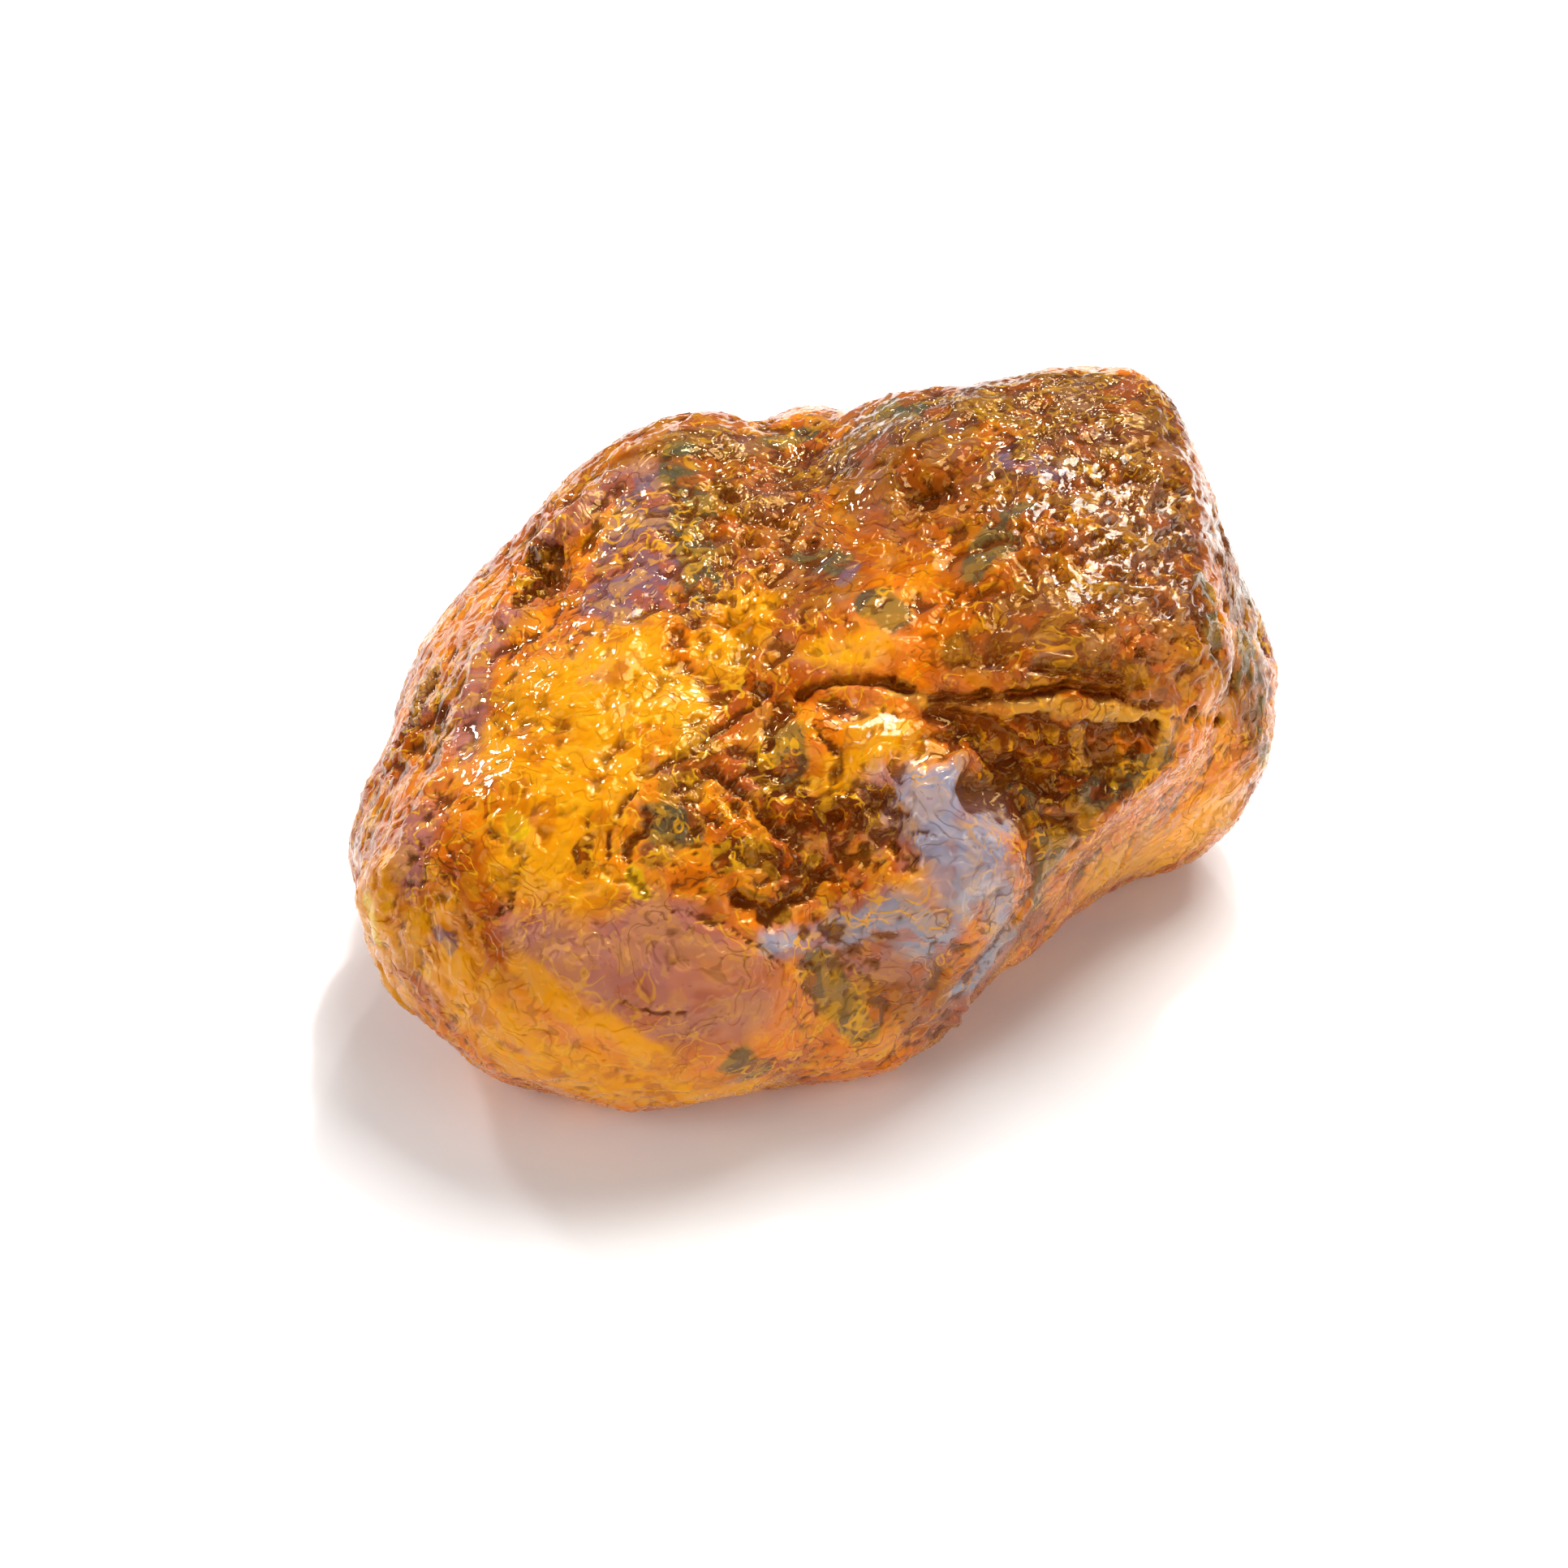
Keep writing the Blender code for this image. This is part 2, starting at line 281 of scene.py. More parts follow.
# Where the skin is smooth.
CALM: tuple[Trace | Patch, ...] = (
    Trace(((700, 1200), (800, 1230), (900, 1250)), 5.0),
    Trace(((1180, 1010), (1200, 1080)), 3.0),
    Trace(((590, 940), (590, 860)), 1.6),
    Trace(((1420, 1050), (1480, 1010)), 3.0),
    Trace(((1060, 640), (1080, 690)), 2.4),
)

# The crack under the brow, then folds, raised edges, finer cracks and pits.
CREASES: tuple[Crease, ...] = (
    Crease(((985, 850), (1050, 832), (1110, 848), (1180, 862), (1250, 858), (1320, 848), (1400, 866),
            (1450, 880), (1500, 886)), 0.38, 1.5),
    Crease(((1150, 880), (1210, 886), (1280, 893), (1350, 897), (1420, 900)), 0.55, 1.3),
    Crease(((1180, 820), (1250, 812), (1320, 826), (1380, 838)), 0.35, 0.7),
    Crease(((1210, 960), (1260, 985), (1320, 990), (1380, 945), (1410, 915)), 0.5, -0.7),
    Crease(((770, 1105), (748, 1060), (752, 1005), (790, 960), (850, 925), (900, 885), (945, 855)), 0.3, 0.8),
    Crease(((722, 1075), (722, 1010), (735, 960), (765, 905)), 0.25, 0.6),
    Crease(((790, 1110), (772, 1050), (800, 1000), (850, 960), (905, 930)), 0.3, 0.6),
    Crease(((905, 1112), (950, 1135), (1000, 1100), (1030, 1050), (1060, 1000), (1100, 985)), 0.4, 1.0),
    Crease(((880, 955), (930, 985), (960, 1020), (990, 1010)), 0.4, 0.9),
    Crease(((930, 850), (960, 870), (940, 930), (905, 960)), 0.35, 0.8),
    Crease(((1000, 890), (1040, 930), (1020, 980)), 0.35, 0.6),
    Crease(((480, 1080), (520, 1000), (556, 930), (575, 860), (600, 800), (650, 715), (700, 640),
            (760, 590)), 0.8, -0.7),
    Crease(((1135, 945), (1190, 935), (1240, 965), (1285, 1040), (1275, 1100), (1225, 1160),
            (1185, 1230), (1170, 1280)), 0.6, -0.8),
    Crease(((1240, 930), (1300, 985), (1332, 1040)), 0.6, 0.8),
    Crease(((830, 1120), (900, 1150), (985, 1195), (1020, 1260), (1080, 1290)), 0.25, 0.4),
    Crease(((980, 1190), (1060, 1195), (1110, 1260)), 0.25, 0.4),
    Crease(((600, 1010), (640, 1060), (625, 1120), (560, 1150)), 0.3, 0.4),
    Crease(((660, 1250), (760, 1235), (860, 1260), (900, 1290)), 0.2, 0.3),
    Crease(((1000, 600), (960, 640), (880, 650), (830, 610)), 0.35, 0.5),
    Crease(((990, 760), (930, 740), (880, 790)), 0.3, 0.5),
    Crease(((1500, 620), (1515, 700), (1500, 780), (1520, 850)), 0.5, 0.6),
    Crease(((1380, 960), (1400, 1020), (1380, 1080)), 0.3, 0.5),
    Crease(((655, 690), (660, 700)), 0.45, 1.2),
    Crease(((676, 722),), 0.4, 1.0),
    Crease(((648, 742),), 0.35, 0.9),
    Crease(((1118, 590), (1128, 600)), 0.35, 0.9),
    Crease(((1152, 612),), 0.35, 0.9),
    Crease(((1192, 895), (1205, 905)), 0.4, 0.9),
    Crease(((1235, 905), (1262, 915)), 0.35, 0.8),
    Crease(((1300, 905), (1318, 912)), 0.4, 0.9),
    Crease(((1240, 942),), 0.4, 0.8),
    Crease(((1285, 950), (1300, 958)), 0.35, 0.7),
    Crease(((1345, 925), (1372, 915)), 0.4, 0.8),
    Crease(((968, 1028), (985, 1040)), 0.45, 0.9),
    Crease(((1030, 1005),), 0.4, 0.9),
    Crease(((1068, 982), (1085, 975)), 0.35, 0.7),
    Crease(((915, 1062), (930, 1070)), 0.35, 0.7),
)


@dataclass(frozen=True)
class PhotoCamera:
    """The camera at the photograph's angle, and its rays.

    Args:
        aim: The point at the picture's middle, in millimetres.
        distance: From there to the lens, in millimetres.
        elevation: Its height over the horizon, in degrees.
        lens: Focal length, in millimetres.
        sensor: Sensor width, in millimetres.
    """

    aim: tuple[float, float, float] = (-2.26, -3.1, 13.0)
    distance: float = 235.0
    elevation: float = 42.0
    lens: float = 85.0
    sensor: float = 36.0

    def back(self) -> Vector:
        """Direction from the nugget to the lens."""
        tilt = math.radians(self.elevation)
        return Vector((0.0, -math.cos(tilt), math.sin(tilt)))

    def place(self) -> Vector:
        """Where the lens is, in millimetres."""
        return Vector(self.aim) + self.back() * self.distance

    def ray(self, pixel: tuple[float, float]) -> Vector:
        """Direction of the ray through a pixel of the photograph.

        Args:
            pixel: Its column and row.

        Returns:
            The direction from the lens.
        """
        back = self.back()
        right = Vector((1.0, 0.0, 0.0))
        focal = self.lens / self.sensor * PHOTO_SIDE
        across = pixel[0] - PHOTO_SIDE / 2.0
        down = pixel[1] - PHOTO_SIDE / 2.0
        return (right * across - back.cross(right) * down - back * focal).normalized()

    def build(self) -> None:
        """Sets up the camera."""
        data = bpy.data.cameras.new("camera")
        data.lens = self.lens
        data.sensor_width = self.sensor
        data.clip_start = 0.005
        camera = bpy.data.objects.new("camera", data)
        camera.location = self.place() * MM
        camera.rotation_euler = (-self.back()).to_track_quat("-Z", "Y").to_euler()
        bpy.context.scene.collection.objects.link(camera)
        bpy.context.scene.camera = camera


@dataclass
class SolidForm:
    """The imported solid, for laying traces on it.

    Args:
        solid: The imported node.
        camera: The camera whose rays lay them.
        pixel_step: Distance between the laid points of a streak, in pixels.
    """

    solid: bpy.types.Object
    camera: PhotoCamera
    pixel_step: float = 10.0

    def __post_init__(self) -> None:
        """Gets the solid ready to be hit by rays."""
        corners = [vertex.co / MM for vertex in self.solid.data.vertices]
        faces = [tuple(face.vertices) for face in self.solid.data.polygons]
        self.tree = BVHTree.FromPolygons(corners, faces)

    def laid(self, pixels: tuple[tuple[int, int], ...]) -> np.ndarray:
        """Lays a line of pixels on the solid.

        Args:
            pixels: The points of the photograph that it runs through.

        Returns:
            Places on the solid, in millimetres.
        """
        stops = [Vector((float(x), float(y))) for x, y in pixels]
        line = [stops[0]]
        for start, end in zip(stops, stops[1:]):
            count = max(1, round((end - start).length / self.pixel_step))
            line += [start.lerp(end, turn / count) for turn in range(1, count + 1)]
        hits = [self.tree.ray_cast(self.camera.place(), self.camera.ray(tuple(spot)))[0] for spot in line]
        return np.array([tuple(hit) for hit in hits if hit is not None])

    def middle_points(self, mark: Trace | Patch | Crease) -> np.ndarray:
        """The places that a mark spreads from.

        Args:
            mark: A trace, patch or crease.

        Returns:
            Its places, in millimetres.
        """
        if isinstance(mark, Patch):
            return np.array([mark.place])
        return self.laid(mark.pixels)

    def gap(self, places: np.ndarray, mark: Trace | Patch | Crease) -> np.ndarray:
        """Distance from places to a mark's middle.

        Args:
            places: Points in millimetres.
            mark: A trace, patch or crease.

        Returns:
            One distance a point.
        """
        gap = np.full(len(places), np.inf)
        for spot in self.middle_points(mark):
            gap = np.minimum(gap, ((places - spot) ** 2).sum(axis=1))
        return np.sqrt(gap)


@dataclass(frozen=True)
class Clouds:
    """Rolling noise on the mesh, from about -1 to 1.

    Args:
        size: The clouds' size, in millimetres.
        layers: How many finer layers it has.
        seed: Shifts the pattern.
        seed_step: How much further the pattern is shifted from one axis to the next, for a pull.
    """

    size: float
    layers: int
    seed: float
    seed_step: float = 0.0
    drift: ClassVar[tuple[float, float, float]] = (1.0, 2.7, -1.3)
    kept: ClassVar[float] = 0.9
    finer: ClassVar[float] = 2.1

    def at(self, places: np.ndarray, axis: int = 0) -> np.ndarray:
        """Looks the noise up.

        Args:
            places: Points in millimetres.
            axis: The axis that it pulls along.

        Returns:
            One value a point.
        """
        seed = self.seed + self.seed_step * axis
        shift = Vector([seed * drift for drift in self.drift])
        looked_up = [Vector(place) / self.size + shift for place in places]
        return np.array([noise.fractal(spot, self.kept, self.finer, self.layers) for spot in looked_up])

    def pull(self, places: np.ndarray) -> np.ndarray:
        """Pulls on points, one along each axis, of about 1 mm at most."""
        return np.column_stack([self.at(places, axis) for axis in range(3)])


@dataclass(frozen=True)
class Grain:
    """A kind of cloudy noise in a material.

    Args:
        scale: Clouds per metre.
        layers: How many finer layers it has.
        kept: Share of the height that each finer layer keeps.
    """

    scale: float
    layers: float = 0.0
    kept: float = 0.55


@dataclass(frozen=True)
class Swirl:
    """A stir that pulls a material's patterns about.

    Args:
        scale: Swirls per metre.
        pull: How far they pull, in metres.
    """

    scale: float
    pull: float


@dataclass
class Painter:
    """Places shader nodes in one material and links them.

    Args:
        tree: The material's node tree.
    """

    tree: bpy.types.NodeTree

    def __post_init__(self) -> None:
        """Starts from the points of the skin in the nugget's own frame."""
        self.position = self.tree.nodes.new("ShaderNodeTexCoord").outputs["Object"]

    def feed(self, value: object, socket: Socket) -> None:
        """Links a socket, or sets a plain value, on another socket.

        Args:
            value: The socket or plain value.
            socket: Where it goes.
        """
        if isinstance(value, Socket):
            self.tree.links.new(value, socket)
        else:
            socket.default_value = value

    def mask(self, name: str) -> Socket:
        """Reads a mask that is stored on the mesh.

        Args:
            name: Its name.

        Returns:
            The mask, from 0 to 1.
        """
        node = self.tree.nodes.new("ShaderNodeAttribute")
        node.attribute_name = name
        return node.outputs["Fac"]

    def _noise_node(self, place: Socket, grain: Grain) -> bpy.types.Node:
        """Places a noise texture.

        Args:
            place: Where the noise is looked up.
            grain: Its kind.

        Returns:
            The node.
        """
        node = self.tree.nodes.new("ShaderNodeTexNoise")
        node.inputs["Scale"].default_value = grain.scale
        node.inputs["Detail"].default_value = grain.layers
        node.inputs["Roughness"].default_value = grain.kept
        self.tree.links.new(place, node.inputs["Vector"])
        return node

    def clouds(self, place: Socket, grain: Grain) -> Socket:
        """Cloudy noise from 0 to 1."""
        return self._noise_node(place, grain).outputs["Fac"]

    def stirred(self, place: Socket, swirl: Swirl) -> Socket:
        """Pulls a place about by noise.

        Args:
            place: The place.
            swirl: How it is pulled.

        Returns:
            The moved place.
        """
        pull = self._noise_node(place, Grain(swirl.scale, 0.0, 0.5)).outputs["Color"]
        centred = self.vector_math("SUBTRACT", pull, (0.5, 0.5, 0.5))
        return self.vector_math("MULTIPLY_ADD", centred, (swirl.pull, swirl.pull, swirl.pull), place)

    def shifted(self, place: Socket, shift: float) -> Socket:
        """A place moved by the same distance along each axis, in metres."""
        return self.vector_math("ADD", place, (shift, shift, shift))

    def vector_math(self, kind: str, *values: object) -> Socket:
        """Arithmetic on places.

        Args:
            kind: The operation, named as Blender names it.
            values: Sockets or plain values.

        Returns:
            The result.
        """
        node = self.tree.nodes.new("ShaderNodeVectorMath")
        node.operation = kind
        for value, socket in zip(values, node.inputs):
            self.feed(value, socket)
        return node.outputs["Vector"]

    def math(self, kind: str, *values: object) -> Socket:
        """Arithmetic on numbers.

        Args:
            kind: The operation, named as Blender names it.
            values: One to three sockets or plain values.

        Returns:
            The result.
        """
        node = self.tree.nodes.new("ShaderNodeMath")
        node.operation = kind
        for value, socket in zip(values, node.inputs):
            self.feed(value, socket)
        return node.outputs["Value"]

    def product(self, first: Socket, *others: object) -> Socket:
        """Multiplies sockets and plain values.

        Args:
            first: The first socket.
            others: What it is multiplied by, in turn.

        Returns:
            The product.
        """
        for other in others:
            first = self.math("MULTIPLY", first, other)
        return first

    def less(self, name: str, loss: float) -> Socket:
        """Falls from 1 outside a mask to 1 less the loss inside it.

        Args:
            name: The mask's name.
            loss: How much is lost where the mask is full.

        Returns:
            The share that is left.
        """
        return self.math("MULTIPLY_ADD", self.mask(name), -loss, 1.0)

    def band(self, value: Socket, levels: Levels) -> Socket:
        """Rises smoothly from one level to another.

        Args:
            value: What is looked at.
            levels: Where it gives 0 and where it gives 1.

        Returns:
            A share from 0 to 1.
        """
        node = self.tree.nodes.new("ShaderNodeMapRange")
        node.interpolation_type = "SMOOTHSTEP"
        node.inputs["From Min"].default_value = levels[0]
        node.inputs["From Max"].default_value = levels[1]
        self.tree.links.new(value, node.inputs["Value"])
        return node.outputs["Result"]

    def blend(self, share: object, start: object, end: object) -> Socket:
        """A number between two others.

        Args:
            share: How far it is on the way, from 0 to 1.
            start: The number at 0.
            end: The number at 1.

        Returns:
            The number.
        """
        node = self.tree.nodes.new("ShaderNodeMix")
        for value, socket in ((share, node.inputs[0]), (start, node.inputs[2]), (end, node.inputs[3])):
            self.feed(value, socket)
        return node.outputs[0]

    def mixed(self, share: object, start: object, end: object) -> Socket:
        """A colour between two others.

        Args:
            share: How far it is on the way, from 0 to 1.
            start: The colour at 0.
            end: The colour at 1.

        Returns:
            The colour.
        """
        node = self.tree.nodes.new("ShaderNodeMix")
        node.data_type = "RGBA"
        for value, socket in ((share, node.inputs[0]), (start, node.inputs[6]), (end, node.inputs[7])):
            self.feed(value, socket)
        return node.outputs[2]


@dataclass(frozen=True)
class Tint:
    """How one kind of amber, or of painted light, colours the skin.

    Args:
        region: The mask that it follows.
        colour: Its colour.
        strength: Its share of the colour where it is full.
        breaks: The noise that breaks up its border.
        ragged: How far the breaks eat into it.
        soft: Width of its border, as a share of the mask.
    """

    region: Region
    colour: Colour
    strength: float
    breaks: Grain
    ragged: float
    soft: float = 0.4
    border: ClassVar[float] = 0.45
    full_ragged: ClassVar[float] = 1.6

    def share(self, painter: Painter, broken: Socket) -> Socket:
        """How much of the skin's colour is this tint.

        Args:
            painter: Places nodes in the amber's tree.
            broken: The noise that breaks up its border.

        Returns:
            A share from 0 to 1.
        """
        eaten = self.ragged * self.full_ragged
        edge = painter.math("MULTIPLY_ADD", broken, eaten, painter.mask(self.region.value))
        middle = self.border + eaten / 2.0
        inside = painter.band(edge, (middle - self.soft / 2.0, middle + self.soft / 2.0))
        return painter.product(inside, self.strength)


@dataclass(frozen=True)
class AmberFinish:
    """The amber itself: see-through resin with a stained and glossy skin.

    Args:
        see_through: Share of the light that passes into the resin.
        bending: How strongly the resin bends light.
        depth_tint: Colour that white light keeps on its way through.
        depth_strength: How fast the resin takes the other colours out, per metre.
        sheen: Strength of the reflections, where a half is plain resin.
        sheen_tint: Colour of the reflections where the skin is seen straight on.
        film_roughness: Roughness of the glassy film that lies on parts of the skin.
        gloss: Least roughness of the clean skin.
        smear: How much rougher the clean skin gets in cloudy patches.
        crust_roughness: Roughness of the brown crust.
        orange: The resin's main colour.
        deep_orange: The resin where it is darker.
        gold: Light flakes and veins, and the curly lines that are painted highlights.
        rust: Dark flakes and specks, and the dark of hollows and cracks, dirt and painted shade.
        wide_swirls: Stirs all patterns.
        small_swirls: Stirs the colours once more.
        wide_breaks: Noise in the borders of wide patches.
        middle_breaks: Noise in the borders of middling patches.
        small_breaks: Noise in the borders of narrow patches, and light veins.
        marble: Noise of light and dark flakes.
        marble_shift: Moves that noise off the one in the borders, in metres.
        specks: Noise of the smallest dark specks.
        lines: Noise whose middle level draws curly lines.
        gaps: Noise that breaks these lines up.
        second_lines: Moves the dark lines off the gold ones, which are painted highlights, in metres.
        cloud_levels: Where the clouds on the mesh turn from deep orange to orange.
        light_levels: Where light marble begins and is full.
        dark_levels: Where dark marble begins and is full.
        vein_levels: Where light veins begin and are full.
        speck_levels: Where dark specks begin and are full.
        line_levels: How far off the middle level a line ends and is full.
        gap_levels: Where lines begin to show and show fully.
        hollow_levels: Where the dark of hollows, dirt and painted shade, begins and is full.
        seam_levels: Where the dark of cracks, dirt and painted shade, begins and is full.
        film: Noise of the glassy film.
        film_levels: Where the film begins and is full.
        film_boost: How much more film lies where its mask is full.
        flakes: Noise of the thin flakes.
        flake_steps: How many flakes lie over one another.
        flake_edge: Where a flake's edge begins and ends, as shares of the flake.
        creases: Noise of the fine creases.
        crease_height: Their height, in flakes.
        grains: Noise of the grains on the crust.
        grain_height: Their height, in flakes.
        relief: Strength of the relief that is finer than the mesh.
        flake_height: Thickness of a flake, in metres.
        tints: The kinds of amber on the skin, painted light among them, each laid over those before it.
    """

    see_through: float = 0.47
    bending: float = 1.54
    depth_tint: Colour = (0.995, 0.93, 0.20, 1.0)
    depth_strength: float = 150.0
    sheen: float = 0.3
    sheen_tint: Colour = (1.0, 0.58, 0.16, 1.0)
    film_roughness: float = 0.05
    gloss: float = 0.02
    smear: float = 0.10
    crust_roughness: float = 0.12
    orange: Colour = (0.92, 0.24, 0.004, 1.0)
    deep_orange: Colour = (0.48, 0.095, 0.002, 1.0)
    gold: Colour = (1.0, 0.52, 0.015, 1.0)
    rust: Colour = (0.085, 0.016, 0.002, 1.0)
    wide_swirls: Swirl = Swirl(170.0, 0.0024)
    small_swirls: Swirl = Swirl(700.0, 0.0008)
    wide_breaks: Grain = Grain(260.0, 2.0, 0.65)
    middle_breaks: Grain = Grain(420.0, 2.0, 0.65)
    small_breaks: Grain = Grain(900.0, 2.0, 0.65)
    marble: Grain = Grain(420.0, 1.0, 0.6)
    marble_shift: float = 0.05
    specks: Grain = Grain(1900.0, 1.0, 0.6)
    lines: Grain = Grain(620.0, 1.0, 0.5)
    gaps: Grain = Grain(380.0, 0.0, 0.5)
    second_lines: float = 0.013
    cloud_levels: Levels = (0.38, 0.60)
    light_levels: Levels = (0.52, 0.56)
    dark_levels: Levels = (0.45, 0.38)
    vein_levels: Levels = (0.57, 0.60)
    speck_levels: Levels = (0.66, 0.72)
    line_levels: Levels = (0.032, 0.012)
    gap_levels: Levels = (0.50, 0.56)
    hollow_levels: Levels = (0.15, 0.85)
    seam_levels: Levels = (0.35, 0.95)
    film: Grain = Grain(1100.0, 1.0, 0.6)
    film_levels: Levels = (0.70, 0.80)
    film_boost: float = 0.35
    flakes: Grain = Grain(330.0, 2.0, 0.55)
    flake_steps: float = 9.0
    flake_edge: Levels = (0.35, 0.65)
    creases: Grain = Grain(800.0, 1.0, 0.45)
    crease_height: float = 2.6
    grains: Grain = Grain(2600.0)
    grain_height: float = 1.4
    relief: float = 0.55
    flake_height: float = 0.00014
    tints: tuple[Tint, ...] = (
        Tint(Region.TAWNY, (0.21, 0.052, 0.002, 1.0), 0.85, wide_breaks, 0.4, 0.8),
        Tint(Region.CRUST, (0.10, 0.034, 0.006, 1.0), 0.8, wide_breaks, 0.9),
        # Mauve: partly milky resin, partly a painted reflection of the lights.
        Tint(Region.HAZE_AND_REFLECTION, (0.46, 0.22, 0.22, 1.0), 0.7, wide_breaks, 1.0, 1.3),
        # Painted glow: bright orange where light comes through the resin, with painted glints.
        Tint(Region.PAINTED_GLOW, (1.0, 0.40, 0.003, 1.0), 0.95, middle_breaks, 0.6, 0.9),
        Tint(Region.PLUM, (0.17, 0.10, 0.16, 1.0), 0.9, middle_breaks, 0.5),
        Tint(Region.MILKY_BLUE, (0.28, 0.42, 0.60, 1.0), 0.85, middle_breaks, 0.6, 0.9),
        Tint(Region.OLIVE, (0.07, 0.085, 0.045, 1.0), 0.9, middle_breaks, 0.6),
        Tint(Region.BROWN, (0.075, 0.014, 0.003, 1.0), 0.92, small_breaks, 1.0),
        Tint(Region.BAND, (0.66, 0.34, 0.06, 1.0), 0.95, small_breaks, 0.3),
        # Painted glow: small bright yellow spots where light comes through.
        Tint(Region.YELLOW, (1.0, 0.66, 0.01, 1.0), 0.9, small_breaks, 0.5),
    )

    def material(self) -> bpy.types.Material:
        """Builds the amber's material.

        Returns:
            The material, with plain see-through values and masked colours.
        """
        made = bpy.data.materials.new("amber_resin")
        made.use_nodes = True
        tree = made.node_tree
        shader = tree.nodes["Principled BSDF"]
        output = tree.nodes["Material Output"]
        shader.inputs["Transmission Weight"].default_value = self.see_through
        shader.inputs["IOR"].default_value = self.bending
        shader.inputs["Specular IOR Level"].default_value = self.sheen
        shader.inputs["Specular Tint"].default_value = self.sheen_tint
        shader.inputs["Metallic"].default_value = 0.0
        shader.inputs["Coat Roughness"].default_value = self.film_roughness
        depth = tree.nodes.new("ShaderNodeVolumeAbsorption")
        depth.inputs["Color"].default_value = self.depth_tint
        depth.inputs["Density"].default_value = self.depth_strength
        tree.links.new(depth.outputs["Volume"], output.inputs["Volume"])
        painter = Painter(tree)
        swirled = painter.stirred(painter.position, self.wide_swirls)
        curled = painter.stirred(swirled, self.small_swirls)
        tree.links.new(self._colour(painter, curled), shader.inputs["Base Color"])
        tree.links.new(self._roughness(painter), shader.inputs["Roughness"])
        tree.links.new(self._film(painter, curled), shader.inputs["Coat Weight"])
        tree.links.new(self._relief(painter, swirled), shader.inputs["Normal"])
        return made

    def _colour(self, painter: Painter, curled: Socket) -> Socket:
        """Lays the colours of the amber over one another, painted light and shade among them.

        Args:
            painter: Places nodes in the amber's tree.
            curled: Places pulled about in wide and small swirls.

        Returns:
            The skin's colour.
        """
        borders = (self.wide_breaks, self.middle_breaks, self.small_breaks)
        breaks = {grain: painter.clouds(curled, grain) for grain in borders}
        light = painter.band(painter.mask("cloud"), self.cloud_levels)
        colour = painter.mixed(light, self.deep_orange, self.orange)
        for tint in self.tints:
            colour = painter.mixed(tint.share(painter, breaks[tint.breaks]), colour, tint.colour)
        busy = painter.less("calm", 0.45)
        for share, strength, tone in self._marks(painter, curled, breaks[self.small_breaks]):
            colour = painter.mixed(painter.product(share, strength, busy), colour, tone)
        # Hollows and cracks darken towards rust: dirt and painted shade.
        hollow = painter.band(painter.mask("cavity"), self.hollow_levels)
        hollow_dirt_and_shade = painter.product(hollow, 0.85, painter.less(Region.PAINTED_GLOW.value, 0.45))
        crack_dirt_and_shade = painter.product(painter.band(painter.mask("crack_dirt_and_shade"), self.seam_levels), 0.8)
        return painter.mixed(crack_dirt_and_shade, painter.mixed(hollow_dirt_and_shade, colour, self.rust), self.rust)

    def _marks(self, painter: Painter, curled: Socket,
               veins: Socket) -> tuple[tuple[Socket, object, Colour], ...]:
        """The small flakes, veins and specks in the resin, and curly lines, whose gold ones are painted
        highlights.

        Args:
            painter: Places nodes in the amber's tree.
            curled: Places pulled about in wide and small swirls.
            veins: Noise that draws light veins.

        Returns:
            For each kind, where it is, its strength and its colour.
        """
        bright = painter.less(Region.TAWNY.value, 0.6)
        # Fewer dark lines and specks where the glow is painted.
        fouled = painter.less(Region.PAINTED_GLOW.value, 0.8)
        marble = painter.clouds(painter.shifted(curled, self.marble_shift), self.marble)
        specks = painter.clouds(curled, self.specks)
        return (
            (painter.band(marble, self.light_levels), painter.product(bright, 0.25), self.gold),
            (painter.band(marble, self.dark_levels), 0.5, self.deep_orange),
            (painter.band(veins, self.vein_levels), painter.product(bright, 0.35), self.gold),
            # Painted highlights: gold curly lines for the glints of thin flakes.
            (self._lines(painter, curled), painter.product(bright, 0.75), self.gold),
            (self._lines(painter, painter.shifted(curled, self.second_lines)),
             painter.product(fouled, 0.6), self.rust),
            (painter.band(specks, self.speck_levels), painter.product(fouled, 0.5), self.rust),
        )

    def _lines(self, painter: Painter, curled: Socket) -> Socket:
        """Short curly lines along thin flakes in the resin; in gold they are painted highlights.

        Args:
            painter: Places nodes in the amber's tree.
            curled: Places pulled about in wide and small swirls.

        Returns:
            1 on the lines and 0 beside them.
        """
        off = painter.math("SUBTRACT", painter.clouds(curled, self.lines), 0.5)
        line = painter.band(painter.math("ABSOLUTE", off), self.line_levels)
        return painter.product(line, painter.band(painter.clouds(curled, self.gaps), self.gap_levels))

    def _roughness(self, painter: Painter) -> Socket:
        """Glossy resin, duller on the crust.

        Args:
            painter: Places nodes in the amber's tree.

        Returns:
            The skin's roughness.
        """
        clean = painter.math("MULTIPLY_ADD", painter.mask("cloud"), self.smear, self.gloss)
        return painter.blend(painter.mask(Region.CRUST.value), clean, self.crust_roughness)

    def _film(self, painter: Painter, curled: Socket) -> Socket:
        """Patches of clear glassy film.

        Args:
            painter: Places nodes in the amber's tree.
            curled: Places pulled about in wide and small swirls.

        Returns:
            How much film lies on the skin, from 0 to 1.
        """
        edge = painter.math("MULTIPLY_ADD", painter.mask(Region.GLAZE.value), self.film_boost,
                            painter.clouds(curled, self.film))
        return painter.band(edge, self.film_levels)

